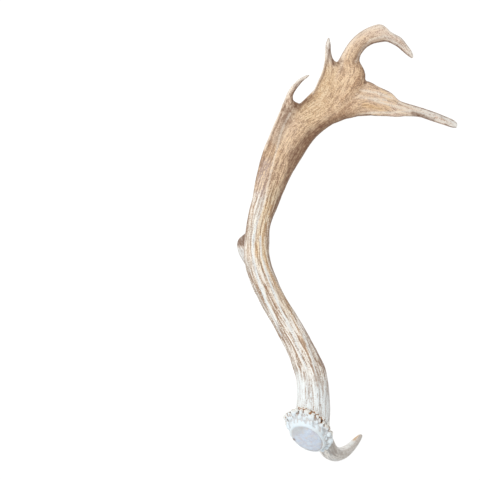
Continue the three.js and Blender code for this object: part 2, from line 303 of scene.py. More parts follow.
# painted shade: thin dark lines just inside the lit rims of the palm and the notch
UMBER_OUTLINES = [(0.7, 1.4, LEFT_RIM), (0.7, 1.4, NOTCH_RIM)]
OCHRE_STROKES = [(0.95, 1.5, stroke) for stroke in OCHRE_STREAKS] + [
    (0.7, 4, END_TAN), (0.4, 16, PALM_GOLD),
]
STRAW_STROKES = [(1, 9, OCHRE_WASH), (0.4, 8, YELLOW_WASH), (0.9, 14, PALM_GOLD)]


# ---------------------------------------------------------------- arrays


def unit(rows):
    """Each row at length one."""
    return rows / np.maximum(np.linalg.norm(rows, axis=-1, keepdims=True), 1e-12)


def smoothstep(low, high, values):
    """0 up to low, 1 from high, and a soft rise between them. low may be the larger."""
    t = np.clip((values - low) / (high - low), 0, 1)
    return t * t * (3 - 2 * t)


def spline(stops, t):
    """An even Catmull-Rom curve through the stops, at each t from 0 to 1."""
    stops = np.asarray(stops, float)
    ends = np.vstack([2 * stops[0] - stops[1], stops, 2 * stops[-1] - stops[-2]])
    place = np.clip(t, 0, 1) * (len(stops) - 1)
    first = np.minimum(place.astype(int), len(stops) - 2)
    f = (place - first)[:, None]
    a, b, c, d = (ends[first + k] for k in range(4))
    return b + 0.5 * f * (c - a + f * (2 * a - 5 * b + 4 * c - d + f * (3 * (b - c) + d - a)))


# A store of random numbers, and what picks one of them for each cell of space.
CHANCE = np.random.default_rng(11).random(65536)
PICK = (73856093, 19349663, 83492791)
TURN = np.array(Matrix.Rotation(0.7, 3, "X") @ Matrix.Rotation(0.5, 3, "Y"))
SEED_SHIFT = 71.3  # cells between one seed's noise and the next


def corners():
    """The eight corners of a cell, as steps along x, y and z."""
    for corner in range(8):
        yield np.array([corner & 1, corner >> 1 & 1, corner >> 2 & 1])


def corner_share(step, f):
    """How much a corner counts at the place f inside its cell."""
    return np.prod(np.where(step == 1, f, 1 - f), axis=1)


def grains(points, size, seed=0):
    """Smooth noise from 0 to 1 with lumps of about this size, in the points' own unit."""
    turned = points @ TURN.T / size + SEED_SHIFT * (seed + 1)
    cell = np.floor(turned).astype(np.int64)
    f = turned - cell
    f = f * f * (3 - 2 * f)
    total = np.zeros(len(points))
    for step in corners():
        x, y, z = (cell + step).T
        key = x * PICK[0] ^ y * PICK[1] ^ z * PICK[2]
        total += corner_share(step, f) * CHANCE[key & (len(CHANCE) - 1)]
    return total


def evened(values):
    """The values moved and scaled to a mean of 0 and a spread of 1."""
    return (values - values.mean()) / values.std()


def away_from(points, stroke):
    """Distance from points to a stroke, both seen from above, in millimetres."""
    spots = points[:, :2] / MM
    stroke = np.asarray(stroke, float)
    least = np.full(len(spots), np.inf)
    for a, b in zip(stroke[:-1], stroke[1:]):
        way = b - a
        share = np.clip((spots - a) @ way / (way @ way), 0, 1)
        least = np.minimum(least, np.linalg.norm(spots - a - share[:, None] * way, axis=1))
    return least


# ---------------------------------------------------------------- limbs


class Limb:
    """A limb of the antler: where each section lies and how wide and thick it is."""

    RINGS = 5  # from one stop to the next
    STEP = 1e-3  # share of the limb over which its way of growing is taken
    AHEAD = 2 * MM  # distance along the limb that counts as one in the search
    SIDEWAYS = 0.05  # how little the distance to the side counts beside it
    MISSED = 4 * MM  # distance past a tip that counts as one radius

    def __init__(self, name, stops, sides, square=2.0):
        self.name, self.sides, self.square = name, sides, square
        self.stops = np.array(stops, float)
        self.round = self.stops.shape[1] == 4
        self.rings = self.RINGS * (len(stops) - 1)

    def frames(self, t):
        """The middle of the section at each t, and its half axes across and up."""
        step = self.STEP
        if self.round:
            shape = spline(self.stops, t) * MM
            growth = spline(self.stops, t + step) - spline(self.stops, t - step)
            across = unit(np.cross(growth[:, :3], unit(np.array([0, 1, 0.2]))))
            up = unit(np.cross(across, growth[:, :3]))
            return shape[:, :3], across * shape[:, 3:], up * shape[:, 3:]
        left, right = self.stops[:, [0, 1, 4]], self.stops[:, [2, 3, 4]]
        middle = (left + right) / 2
        growth = spline(middle, t + step) - spline(middle, t - step)
        across = (spline(right, t) - spline(left, t)) / 2 * MM
        up = unit(np.cross(across, growth)) * spline(self.stops[:, 5:], t) / 2 * MM
        return spline(middle, t) * MM, across, up

    def section(self, angle):
        """Where a section's rim is at each angle, in half widths across and up."""
        power = 2 / self.square
        c, s = np.cos(angle), np.sin(angle)
        return np.sign(c) * np.abs(c) ** power, np.sign(s) * np.abs(s) ** power

    def locate(self, points):
        """For each point: t along the limb, and how far across, up and out of it."""
        t = np.linspace(0, 1, 2 * self.rings + 1)
        middle, across, up = self.frames(t)
        onward = unit(np.cross(across, up))
        growth = np.gradient(middle, t, axis=0)
        onward *= np.sign((onward * growth).sum(axis=1, keepdims=True))
        offsets = []
        for axis in (onward, across, up):
            scaled = axis / (axis * axis).sum(axis=1, keepdims=True)
            offsets.append(points @ scaled.T - (middle * scaled).sum(axis=1))
        ahead, u, v = offsets
        nearness = (ahead / self.AHEAD) ** 2 + self.SIDEWAYS * (u * u + v * v)
        best = np.argmin(nearness, axis=1)
        speed = (growth * onward).sum(axis=1)[best]
        shift = ahead[np.arange(len(points)), best] / speed
        exact = np.clip(t[best] + np.clip(shift, -t[1], t[1]), 0, 1)
        middle, across, up = self.frames(exact)
        rel = points - middle
        u = (rel * across).sum(axis=1) / (across * across).sum(axis=1)
        v = (rel * up).sum(axis=1) / (up * up).sum(axis=1)
        missed = np.abs((rel * unit(np.cross(across, up))).sum(axis=1))
        power = self.square
        out = (np.abs(u) ** power + np.abs(v) ** power) ** (1 / power) + missed / self.MISSED
        return exact, u, v, out

    def heading(self, t):
        """The way the limb grows at each t."""
        step = 2 * self.STEP
        return unit(self.frames(t + step)[0] - self.frames(t - step)[0])

    def run(self, t):
        """How far along the limb each t is, in metres."""
        even = np.linspace(0, 1, 101)
        steps = np.linalg.norm(np.diff(self.frames(even)[0], axis=0), axis=1)
        return np.interp(t, even, np.concatenate([[0], np.cumsum(steps)]))


LIMBS = [
    Limb("beam", BEAM_RIBS, sides=56, square=2.15),
    Limb("hook", HOOK_RIBS, sides=40, square=2.25),
    Limb("end", END_RIBS, sides=40, square=2.25),
    Limb("upper_spur", UPPER_SPUR_RIBS, sides=32),
    Limb("lower_spur", LOWER_SPUR_RIBS, sides=32),
    Limb("brow", BROW_LINE, sides=32),
    Limb("trez", TREZ_LINE, sides=32),
]

# How much of a look each limb has: one number, or a curve from its foot at 0 to its tip
# at 1. A limb that is left out has none.
LONG_GRAIN = dict(beam=lambda t: 1 - smoothstep(0.6, 0.85, t), brow=0.25, trez=0.5)
POLISH = dict(
    hook=lambda t: smoothstep(0.82, 0.99, t),
    end=lambda t: smoothstep(0.75, 0.98, t),
    upper_spur=lambda t: smoothstep(0.3, 0.8, t),
    lower_spur=lambda t: smoothstep(0.4, 0.85, t),
    brow=lambda t: smoothstep(0.2, 0.7, t),
    trez=lambda t: smoothstep(0.5, 1, t),
)
ROUGHNESS = dict(
    beam=lambda t: 1 - 0.75 * smoothstep(0.56, 0.82, t),
    hook=0.35, end=0.3, upper_spur=0.25, lower_spur=0.4, brow=0.3, trez=0.5,
)
WARMTH = dict(
    beam=lambda t: np.interp(
        t, [0, 0.2, 0.4, 0.5, 0.6, 0.72, 1], [0, 0.08, 0.3, 0.42, 0.62, 0.85, 0.95]
    ),
    hook=lambda t: np.interp(t, [0.2, 0.45, 0.7, 1], [0.95, 0.8, 0.65, 0.6]),
    end=lambda t: np.interp(t, [0.2, 0.5, 0.7, 1], [0.9, 0.75, 0.6, 0.5]),
    upper_spur=lambda t: 0.85 - 0.25 * smoothstep(0.2, 0.7, t),
    lower_spur=lambda t: 0.75 - 0.15 * smoothstep(0.3, 0.8, t),
    trez=0.1,
)
WEAR = dict(
    hook=lambda t: smoothstep(0.25, 0.6, t),
    end=lambda t: smoothstep(0.05, 0.35, t),
    upper_spur=0.5, lower_spur=0.4, brow=1, trez=0.6,
)
# painted shade: a thin dark line where each limb's edge turns down, away from the light
OUTLINE_SHADE = dict(
    beam=lambda t: 0.4 * smoothstep(0.5, 0.62, t),
    hook=lambda t: 1 - 0.5 * smoothstep(0.8, 1, t),
    end=0.75, upper_spur=0.3, lower_spur=0.4, trez=0.2,
)
TAUPE_TINES = dict(brow=lambda t: 0.15 * smoothstep(0.75, 0.95, t), trez=0.25)
# painted shade: the brow and trez tines lie low beside the beam and are greyed as in shade, the
# brow most at its root
SLATE_TINES = dict(brow=lambda t: 1 - 0.85 * smoothstep(0.3, 0.65, t), trez=0.2)


# ---------------------------------------------------------------- mesh helpers


def select_only(*pieces):
    """Selects these pieces and nothing else, and makes the first one active."""
    bpy.ops.object.select_all(action="DESELECT")
    for piece in pieces:
        piece.select_set(True)
    if pieces:
        bpy.context.view_layer.objects.active = pieces[0]


def select_edges(piece, wanted):
    """Selects, in edit mode, the edges for which wanted(one end, other end) is true."""
    mesh = bmesh.from_edit_mesh(piece.data)
    bpy.ops.mesh.select_mode(type="EDGE")
    bpy.ops.mesh.select_all(action="DESELECT")
    for edge in mesh.edges:
        edge.select_set(wanted(*(vert.co for vert in edge.verts)))
    mesh.select_flush_mode()
    bmesh.update_edit_mesh(piece.data)


def long_cylinder(name, sides, rings):
    """A cylinder of radius and length 1, cut into rings along its length."""
    select_only()
    bpy.ops.mesh.primitive_cylinder_add(
        vertices=sides, radius=1, depth=1, end_fill_type="TRIFAN", location=(0, 0, 0)
    )
    piece = bpy.context.object
    piece.name = piece.data.name = name
    bpy.ops.object.mode_set(mode="EDIT")
    select_edges(piece, lambda a, b: abs(a.z - b.z) > 0.5)
    bpy.ops.mesh.subdivide(number_cuts=rings - 1)
    bpy.ops.object.mode_set(mode="OBJECT")
    return piece


def apply_modifier(piece, kind, **settings):
    """Adds a modifier with these settings and applies it."""
    select_only(piece)
    modifier = piece.modifiers.new(kind.title(), kind)
    for name, value in settings.items():
        setattr(modifier, name, value)
    bpy.ops.object.modifier_apply(modifier=modifier.name)


def read(items, name, width, kind=float):
    """One property of every point or edge of a mesh, as an array."""
    values = np.empty(len(items) * width, kind)
    items.foreach_get(name, values)
    return values.reshape(-1, width) if width > 1 else values


class Surface:
    """The points and edges of a piece's mesh, for moves that take in all of it."""

    EASE = 0.6  # share of the way to its neighbours' middle that a point moves in a round
    STALE = 10  # rounds after which the normals are taken again

    def __init__(self, piece):
        self.mesh = piece.data
        self.points = read(self.mesh.vertices, "co", 3)
        self.ends = read(self.mesh.edges, "vertices", 2, np.int32)
        self.degree = np.bincount(self.ends.ravel(), minlength=len(self.points))

    def around(self, values):
        """The mean of each point's neighbours."""
        if values.ndim > 1:
            return np.stack([self.around(column) for column in values.T], axis=1)
        a, b = self.ends.T
        count = len(self.points)
        total = np.bincount(a, values[b], count) + np.bincount(b, values[a], count)
        return total / self.degree

    def spread(self, values, rounds):
        """The values blurred over the surface."""
        for _ in range(rounds):
            values = (values + self.around(values)) / 2
        return values

    def relax(self, weight, rounds):
        """Smooths the shape where the weight is 1 and leaves it where it is 0."""
        share = self.EASE * weight[:, None]
        for _ in range(rounds):
            self.points += share * (self.around(self.points) - self.points)

    def fill(self, weight, rounds):
        """Rounds out the creases where the weight is 1, and takes nothing off the rest."""
        share = self.EASE * weight[:, None]
        for k in range(rounds):
            if k % self.STALE == 0:
                normals = self.settle()
            step = self.around(self.points) - self.points
            lift = (step * normals).sum(axis=1)
            self.points += share * (step - np.minimum(lift, 0)[:, None] * normals)

    def settle(self):
        """Writes the points to the mesh and returns their normals."""
        self.mesh.vertices.foreach_set("co", self.points.ravel())
        self.mesh.update()
        return read(self.mesh.vertices, "normal", 3)

    def push(self, distance):
        """Moves each point out along its normal by this many millimetres."""
        self.points += self.settle() * (distance * MM)[:, None]

    def hollows(self, rounds):
        """How deep each point lies in a hollow of the surface, in millimetres."""
        gap = (self.spread(self.points, rounds) - self.points) / MM
        return (gap * self.settle()).sum(axis=1)

    def store(self, **values):
        """Keeps values on the points, under names that the materials read."""
        for name, column in values.items():
            kind = "FLOAT_VECTOR" if column.ndim > 1 else "FLOAT"
            kept = self.mesh.attributes.new(name, kind, "POINT")
            key = "vector" if column.ndim > 1 else "value"
            kept.data.foreach_set(key, np.ascontiguousarray(column, np.float32).ravel())


# ---------------------------------------------------------------- materials


class Value:
    """A number in a material. The usual signs add the nodes that work it out."""

    def __init__(self, graph, socket):
        self.graph, self.socket = graph, socket

    def _math(self, operation, *values):
        node = self.graph.add("ShaderNodeMath", {"operation": operation}, dict(enumerate(values)))
        return Value(self.graph, node.outputs[0])

    def __add__(self, other):
        return self._math("ADD", self, other)

    def __radd__(self, other):
        return self._math("ADD", other, self)

    def __sub__(self, other):
        return self._math("SUBTRACT", self, other)

    def __rsub__(self, other):
        return self._math("SUBTRACT", other, self)

    def __mul__(self, other):
        return self._math("MULTIPLY", self, other)

    def __rmul__(self, other):
        return self._math("MULTIPLY", other, self)

    def over(self, low, high):
        """0 where the number is low or less, 1 where it is high or more."""
        settings = {"interpolation_type": "SMOOTHSTEP", "clamp": True}
        node = self.graph.add(
            "ShaderNodeMapRange", settings, {"Value": self, "From Min": low, "From Max": high}
        )
        return Value(self.graph, node.outputs["Result"])

    def held(self):
        """The number kept between 0 and 1."""
        node = self.graph.add("ShaderNodeClamp", {}, {"Value": self})
        return Value(self.graph, node.outputs["Result"])


class Graph:
    """The node tree of a material."""

    MIXED = (6, 7)  # a mix node's two sockets for colours

    def __init__(self, name):
        self.material = bpy.data.materials.new(name)
        self.material.use_nodes = True
        self.tree = self.material.node_tree
        self.tree.nodes.clear()

    def add(self, kind, settings=None, sockets=None):
        """Adds a node, makes its settings, then fills or links its sockets."""
        node = self.tree.nodes.new(kind)
        for name, value in (settings or {}).items():
            setattr(node, name, value)
        for name, value in (sockets or {}).items():
            if isinstance(value, Value):
                value = value.socket
            if isinstance(value, bpy.types.NodeSocket):
                self.tree.links.new(value, node.inputs[name])
            else:
                node.inputs[name].default_value = value
        return node

    def kept(self, name):
        """A number that the mesh keeps on its points."""
        node = self.add("ShaderNodeAttribute", {"attribute_name": name})
        return Value(self, node.outputs["Fac"])

    def kept_place(self, name, stretch):
        """A place that the mesh keeps on its points, scaled along its three axes."""
        node = self.add("ShaderNodeAttribute", {"attribute_name": name})
        sockets = {0: node.outputs["Vector"], 1: stretch}
        return self.add("ShaderNodeVectorMath", {"operation": "MULTIPLY"}, sockets).outputs[0]

    def place(self):
        """The place on the piece, in metres."""
        return self.add("ShaderNodeTexCoord").outputs["Object"]

    def noise(self, vector, scale, detail=3.0, roughness=0.55):
        """Cloudy noise from about 0 to 1."""
        sockets = {"Vector": vector, "Scale": scale, "Detail": detail, "Roughness": roughness}
        return Value(self, self.add("ShaderNodeTexNoise", {}, sockets).outputs["Fac"])

    def cells(self, vector, scale):
        """Distance to the nearest of scattered points, in cells."""
        sockets = {"Vector": vector, "Scale": scale}
        return Value(self, self.add("ShaderNodeTexVoronoi", {}, sockets).outputs["Distance"])

    def mix(self, factor, first, second):
        """The second colour laid over the first. Each is a socket or a plain colour."""
        sockets = {"Factor": factor}
        for name, colour in zip(self.MIXED, (first, second)):
            plain = not isinstance(colour, bpy.types.NodeSocket)
            sockets[name] = (*colour, 1.0) if plain else colour
        return self.add("ShaderNodeMix", {"data_type": "RGBA"}, sockets).outputs[2]

    def lay(self, colour, *coats):
        """Coats of paint laid over a colour, each given as how much of it and which."""
        for amount, paint in coats:
            colour = self.mix(amount, colour, paint)
        return colour

    def bump(self, height, distance):
        """A normal that shows the height as relief."""
        sockets = {"Height": height, "Distance": distance, "Strength": 1.0}
        return self.add("ShaderNodeBump", {}, sockets).outputs["Normal"]

    def surface(self, **sockets):
        """The shader and the output of the material."""
        named = {name.replace("_", " "): value for name, value in sockets.items()}
        shader = self.add("ShaderNodeBsdfPrincipled", {}, named)
        self.add("ShaderNodeOutputMaterial", {}, {"Surface": shader.outputs[0]})
        return self.material


def colour_property(name, description, default):
    """A colour that a user can change."""
    return bpy.props.FloatVectorProperty(
        name=name, description=description, subtype="COLOR", default=default, min=0, max=1
    )


def length_property(name, description, default):
    """A length that a user can change."""
    return bpy.props.FloatProperty(
        name=name, description=description, default=default, subtype="DISTANCE", unit="LENGTH"
    )


class AntlerColours(bpy.types.PropertyGroup):
    """The colours of the bone."""

    ivory: colour_property("Ivory", "Bone of the lower beam", (0.83, 0.75, 0.63))
    tan: colour_property("Tan", "Bone of the palm", (0.70, 0.45, 0.262))
    russet: colour_property("Russet", "Redder bone in patches", (0.55, 0.315, 0.175))
    honey: colour_property("Honey", "Light fibres of the palm", (0.93, 0.69, 0.44))
    cream: colour_property("Cream", "Ridges and tips of the palm", (1.0, 0.87, 0.72))
    blush: colour_property("Blush", "Rubbed bone of the hook and the end tine", (1.0, 0.79, 0.655))
    straw: colour_property("Straw", "Yellow tinge of the right side", (0.83, 0.60, 0.33))
    butter: colour_property("Butter", "Light fibres of the right side", (0.96, 0.82, 0.59))
    ochre: colour_property("Ochre", "Orange streaks at the bend", (0.65, 0.37, 0.14))
    # Taupe is also painted shade on the beam's right side, round the brow tine and on what faces
    # down.
    taupe: colour_property("Taupe", "Grey brown of the edges", (0.36, 0.30, 0.24))
    # Umber is stains and also painted shade: in notches and hollows, on turned edges and outlines,
    # on the hook's inner side and on the trez tine.
    umber: colour_property("Umber", "Stain in the hollows", (0.19, 0.09, 0.045))
    furrow: colour_property("Furrow", "Dirt in the furrows", (0.36, 0.22, 0.135))
    mauve: colour_property("Mauve", "Pink grey bloom on the left side", (0.54, 0.44, 0.46))
    # With cream, this colour also makes the painted highlight on the lit rims and the hook's outer
    # side.
    bare_and_highlight: colour_property("Bare", "Polished ridges low on the beam", (0.90, 0.95, 0.95))
    milk: colour_property("Milk", "Light fibres of the beam", (0.97, 0.93, 0.86))
    frost: colour_property("Frost", "Cool white of the burr", (0.79, 0.89, 0.95))
    # Slate greys the pale strip low on the beam, and is painted shade on the low tines and on the
    # seal's upper-left rim.
    slate: colour_property("Slate", "Grey of the brow tine", (0.54, 0.55, 0.545))
    seal: colour_property("Seal", "Rough bone of the seal", (0.64, 0.73, 0.87))
    rust: colour_property("Rust", "Dirt between the pearls", (0.42, 0.20, 0.08))


class AntlerSizes(bpy.types.PropertyGroup):
    """The sizes of the antler's relief."""

    grid: length_property("Grid", "Size of the skin's faces", 1.05 * MM)
    burr_grid: length_property("Burr Grid", "Size of the burr's faces", 0.6 * MM)
    furrow_depth: length_property("Furrow Depth", "Depth of the beam's furrows", 0.9 * MM)
    pearls: bpy.props.IntProperty(
        name="Pearls", description="Large pearls round the burr", default=28, min=8, max=60
    )


class StageSizes(bpy.types.PropertyGroup):
    """The camera, the floor and the light."""

    view_width: length_property("View Width", "Width that the camera takes in", 0.576)
    view_x: length_property("View X", "Middle of the view, across", -0.1293)
    view_y: length_property("View Y", "Middle of the view, along", 0.0033)
    view_distance: length_property("View Distance", "Height of the camera", 12.0)
    floor_colour: colour_property("Floor", "Colour of the floor", (0.12, 0.12, 0.12))
    floor_glow: bpy.props.FloatProperty(
        name="Floor Glow", description="Light that the floor gives off by itself", default=0.94
    )


# ---------------------------------------------------------------- the skin


def grow_limb(limb):
    """A cylinder bent along a limb."""
    piece = long_cylinder(limb.name, limb.sides, limb.rings)
    shape = Surface(piece)
    x, y, z = shape.points.T
    middle, across, up = limb.frames(z + 0.5)
    radius = np.hypot(x, y)[:, None]
    u, v = limb.section(np.arctan2(-y, x))
    shape.points = middle + radius * (u[:, None] * across + v[:, None] * up)
    shape.settle()
    return piece


class Growth:
    """Where each point of the skin lies on the limbs, and which way it grows there."""

    FORK = 0.3  # how much nearer to one limb a point is where a fork ends, in radii
    BLEND = 0.1  # and where one limb's looks have given way to the other's

    def __init__(self, points):
        found = [limb.locate(points) for limb in LIMBS]
        out = np.stack([f[3] for f in found], axis=1)
        order = np.sort(out, axis=1)
        lead = order[:, 1] - order[:, 0]
        self.fork = np.exp(-((lead / self.FORK) ** 2))
        self.sure = smoothstep(0.1, 0.4, lead)
        share = np.exp(-(out - order[:, :1]) / self.BLEND)
        share = share / share.sum(axis=1, keepdims=True)
        nearest = np.argmin(out, axis=1)
        self.on, self.along, self.across = {}, {}, {}
        self.reach = np.zeros(len(points))
        self.heading = np.zeros_like(points)
        self.grain = np.zeros_like(points)
        for i, (limb, (t, u, v, _)) in enumerate(zip(LIMBS, found)):
            on = share[:, i]
            self.on[limb.name], self.along[limb.name], self.across[limb.name] = on, t, u
            self.heading += on[:, None] * limb.heading(t)
            _, across, up = limb.frames(t)
            width = np.linalg.norm(across, axis=1)
            height = np.linalg.norm(up, axis=1)
            self.reach += on * (1 - np.abs(u)) * width / MM
            local = np.stack([u * width, v * height, limb.run(t) + i], axis=1)
            self.grain = np.where((nearest == i)[:, None], local, self.grain)
        self.heading = unit(self.heading)

    def blend(self, look):
        """How much of a look each point has, blended where limbs meet."""
        total = 0
        for name, share in look.items():
            total = total + self.on[name] * (share(self.along[name]) if callable(share) else share)
        return total


class Flow:
    """The way of growth at any place near the skin, from a coarse grid of cells."""

    CELL = 5 * MM
    MARGIN = 4  # cells round the skin
    EVENING = 3  # rounds in which a cell takes on its neighbours' way
    STRIDE = 0.8  # from one look along the growth to the next, in widths of a streak

    def __init__(self, points, heading):
        margin = self.MARGIN * self.CELL
        self.low = points.min(axis=0) - margin
        span = points.max(axis=0) + margin - self.low
        self.shape = np.ceil(span / self.CELL).astype(int) + 1
        cell = np.round((points - self.low) / self.CELL).astype(int)
        flat = np.ravel_multi_index(cell.T, self.shape)
        size = int(np.prod(self.shape))
        sums = np.stack([np.bincount(flat, column, size) for column in heading.T], axis=1)
        field = sums.reshape(*self.shape, 3)
        for _ in range(self.EVENING):
            for axis in range(3):
                field = field + 0.5 * (np.roll(field, 1, axis) + np.roll(field, -1, axis))
        self.field = field.reshape(-1, 3)

    def at(self, points):
        """The way of growth at each point."""
        place = (points - self.low) / self.CELL
        cell = np.clip(np.floor(place).astype(int), 0, self.shape - 2)
        f = place - cell
        total = np.zeros_like(points)
        for step in corners():
            flat = np.ravel_multi_index((cell + step).T, self.shape)
            total += corner_share(step, f)[:, None] * self.field[flat]
        return unit(total)

    def streaks(self, points, size, reach, seed):
        """Noise drawn out along the growth, this wide and about twice the reach long."""
        total = grains(points, size * MM, seed)
        steps = max(int(reach / (self.STRIDE * size)), 2)
        for sign in (1, -1):
            spots = points.copy()
            for k in range(steps):
                spots += sign * self.STRIDE * size * MM * self.at(spots)
                total += (1 - k / steps) * grains(spots, size * MM, seed)
        return evened(total)


class Marks:
    """How strongly the strokes mark each point of the skin."""

    def __init__(self, points, normals):
        coarse, fine = grains(points, 5 * MM, 5) - 0.5, grains(points, 2 * MM, 6) - 0.5
        self.points = points
        self.ragged = 1 + 0.5 * coarse + 0.5 * fine
        self.facing = smoothstep(-0.05, 0.35, normals[:, 2])
        self.turning = smoothstep(-0.6, -0.1, normals[:, 2])

    def mark(self, stroke, width, rim=False):
        """One stroke with a ragged edge, on the upper side or on the rim as well."""
        away = away_from(self.points, stroke) * self.ragged / width
        return np.exp(-(away**2)) * (self.turning if rim else self.facing)

    def laid(self, strokes, rim=False):
        """The strokes of a list, each at its own strength and width, added up."""
        return sum(strength * self.mark(stroke, width, rim) for strength, width, stroke in strokes)


class ANTLER_OT_skin(bpy.types.Operator):
    """Grow the beam, the palm and the tines as one skin"""

    bl_idname = "antler.skin"
    bl_label = "Grow Beam, Palm and Tines"

    SMOOTHING = 2  # rounds over the whole skin
    FORK_FILLING = 220  # rounds that round out the forks
    HOLLOW_REACH = 14  # rounds of spreading that tell a hollow from its surroundings
    SPREAD = 0.22  # of a grain's values about 0.5, as the points keep them

    def execute(self, context):
        sizes = context.scene.antler_sizes
        limbs = [grow_limb(limb) for limb in LIMBS]
        select_only(*limbs)
        bpy.ops.object.join()
        skin = context.object
        skin.name = skin.data.name = "antler_skin"
        apply_modifier(skin, "REMESH", mode="VOXEL", voxel_size=sizes.grid)

        surface = Surface(skin)
        surface.relax(np.ones(len(surface.points)), self.SMOOTHING)
        surface.fill(Growth(surface.points).fork, self.FORK_FILLING)
        growth = Growth(surface.points)
        looks = self.relief(surface, growth, sizes)
        self.stain_and_shade(surface, growth, looks)
        bpy.ops.object.shade_smooth()
        skin.data.materials.append(skin_material(context.scene.antler_colours))
        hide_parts("main_beam", "brow_tine", "trez_tine", "palm", "hooked_tine", "end_tine")
        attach(skin, "root")
        return {"FINISHED"}

    def relief(self, surface, growth, sizes):
        """Cuts the furrows and raises the ridges. Returns what the colours follow as well."""
        points = surface.points
        flow = Flow(points, growth.heading)
        marks = Marks(points, surface.settle())
        mark = marks.mark
        y = points[:, 1] / MM
        beam, polish = growth.blend(LONG_GRAIN), growth.blend(POLISH)
        rough = growth.blend(ROUGHNESS) * (1 - 0.8 * polish)

        # the grain of the bone, from broad swells to fine lines
        broad = flow.streaks(points, size=7, reach=70, seed=1)
        middle = flow.streaks(points, size=1.6, reach=75, seed=2)
        long_fine = flow.streaks(points, size=1.2, reach=28, seed=3)
        short_fine = flow.streaks(points, size=1.25, reach=6, seed=7)
        fine = evened(short_fine + beam * (long_fine - short_fine))
        lumps = grains(points, 16 * MM, 4) - 0.5
        stipple = grains(points, 1.5 * MM, 15) - 0.5
        patchy = 0.45 + 0.8 * grains(points, 9 * MM, 13)

        # the two long ridges, which widen down the beam, and what else stays free of furrows
        low = smoothstep(40, 10, y)
        lowest = smoothstep(-45, -60, y)
        first_ridge = smoothstep(0.3, 0.8, mark(PALE_RIDGE, 1.6 + 0.6 * low))
        second_ridge = smoothstep(0.25, 0.75, mark(SECOND_RIDGE, 1.4 + 0.4 * lowest))
        ridge = (0.75 + 0.25 * low) * first_ridge + 0.9 * second_ridge
        left_bare = mark(LEFT_BARE, 7)
        crest = ridge + 1.6 * left_bare + 0.5 * mark(MIDDLE_BARE, 1.8) + 0.45 * mark(LEFT_CALM, 5)

        # the furrows lie where the grain is low, and fade towards the burr
        veins = np.clip(sum(mark(stroke, 1.0) for stroke in VEINS), 0, 1)
        palm_veins = sum(mark(stroke, 1.0) for stroke in PALM_VEINS)
        scoured = 0.35 + 0.65 * smoothstep(-180, -150, y)
        furrow = smoothstep(0.2, -1.5, middle + 0.5 * fine + 1.1 * stipple + 1.3 * crest)
        furrow = np.clip((furrow * scoured + 0.6 * veins) * patchy + 0.4 * palm_veins, 0, 1)
        furrow *= 1 - 0.8 * np.clip(ridge, 0, 1)
        swells = 0.45 * broad + 0.1 * fine + 1.6 * lumps
        swells += 0.7 * (mark(PALE_RIDGE, 3.5) + 0.6 * mark(SECOND_RIDGE, 3))
        depth = sizes.furrow_depth / MM
        surface.push(rough * (swells - depth * furrow) - marks.laid(HOLLOWS))
        surface.points = np.clip(surface.points, *CAD_BOX)
        return SimpleNamespace(
            marks=marks, beam=beam, broad=broad, middle=middle, fine=fine, polish=polish,
            rough=rough, ridge=ridge, left_bare=left_bare, furrow=furrow, veins=veins,
        )

    def stain_and_shade(self, surface, growth, looks):
        """Works out where each colour of the bone shows, painted shade and highlights too, and
        keeps it on the points.
        """
        mark, laid, on = looks.marks.mark, looks.marks.laid, growth.on
        looks.upward = surface.settle()[:, 2]
        looks.x, looks.y, _ = surface.points.T / MM
        looks.worn = growth.blend(WEAR)
        looks.lower = 1 - smoothstep(0.45, 0.62, growth.along["beam"])
        looks.outer = growth.across["hook"] * on["hook"]
        # painted highlight along the lit left rims; it also keeps the umber off them
        looks.pale_rim = np.maximum(
            mark(LEFT_PALE, 1.6, rim=True), mark(SPUR_PALE, 1.8, rim=True)
        )
        brow_spot = mark(BROW_SPOT, 2.6) * on["brow"]
        deep = on["beam"] * smoothstep(-60, -100, looks.y) * (1 - looks.left_bare)
        deep *= 1 - 1.3 * smoothstep(-150, -172, looks.y)
        soiled = smoothstep(0.1, 0.5, looks.rough) * (1 - 0.6 * mark(OCHRE_WASH, 10))
        crisp = 0.5 + 0.5 * looks.beam + 0.3 * looks.worn + 0.5 * deep + 0.5 * mark(FIBROUS, 12)
        shares = {
            "furrow": np.clip(looks.furrow * looks.rough * 1.15, 0, 1) * soiled,
            "streak": 0.5 + self.SPREAD * looks.fine,
            "strand": 0.5 + self.SPREAD * looks.middle,
            "band": 0.5 + self.SPREAD * looks.broad,
            "taupe": self.taupe(growth, looks),
            "umber": self.umber(surface, growth, looks),
            "ochre": laid(OCHRE_STROKES) + 0.9 * brow_spot,
            "mauve": 1.5 * mark(MAUVE, 5.5),
            "straw": laid(STRAW_STROKES),
            "bare_and_highlight": self.bare_and_highlight(growth, looks) * (1 - 0.9 * brow_spot),
        }
        surface.store(
            **{name: np.clip(values, 0, 1) for name, values in shares.items()},
            beam=looks.beam,
            warm=growth.blend(WARMTH) - 0.35 * mark(LEFT_CREAM, 8),
            worn=looks.worn,
            deep=deep,
            crisp=crisp * (1 - 0.8 * on["brow"]),
            chalk=on["beam"] * smoothstep(-140, -185, looks.y),
            # painted shade on the tines, and a grey on the pale strip low on the beam
            slate=growth.blend(SLATE_TINES) + 0.4 * looks.left_bare,
            hollow=smoothstep(0.1, 0.7, surface.hollows(self.HOLLOW_REACH)),
            grain=growth.grain,
            sure=growth.sure,
        )

    def taupe(self, growth, looks):
        """Grey brown on the beam's sides, with painted shade on the right side, round the brow
        tine and on what faces down.
        """
        on, across = growth.on, growth.across["beam"]
        # painted shade on the beam's right side; the left edge is grey brown
        right = smoothstep(0.6, 1.0, across) * on["beam"]
        left = smoothstep(-0.6, -0.95, across) * on["beam"] * smoothstep(-175, -145, looks.y)
        total = looks.marks.laid(TAUPE_STROKES) + looks.marks.laid(TAUPE_RIMS, rim=True)
        total += (0.45 * right + 0.3 * left) * looks.lower
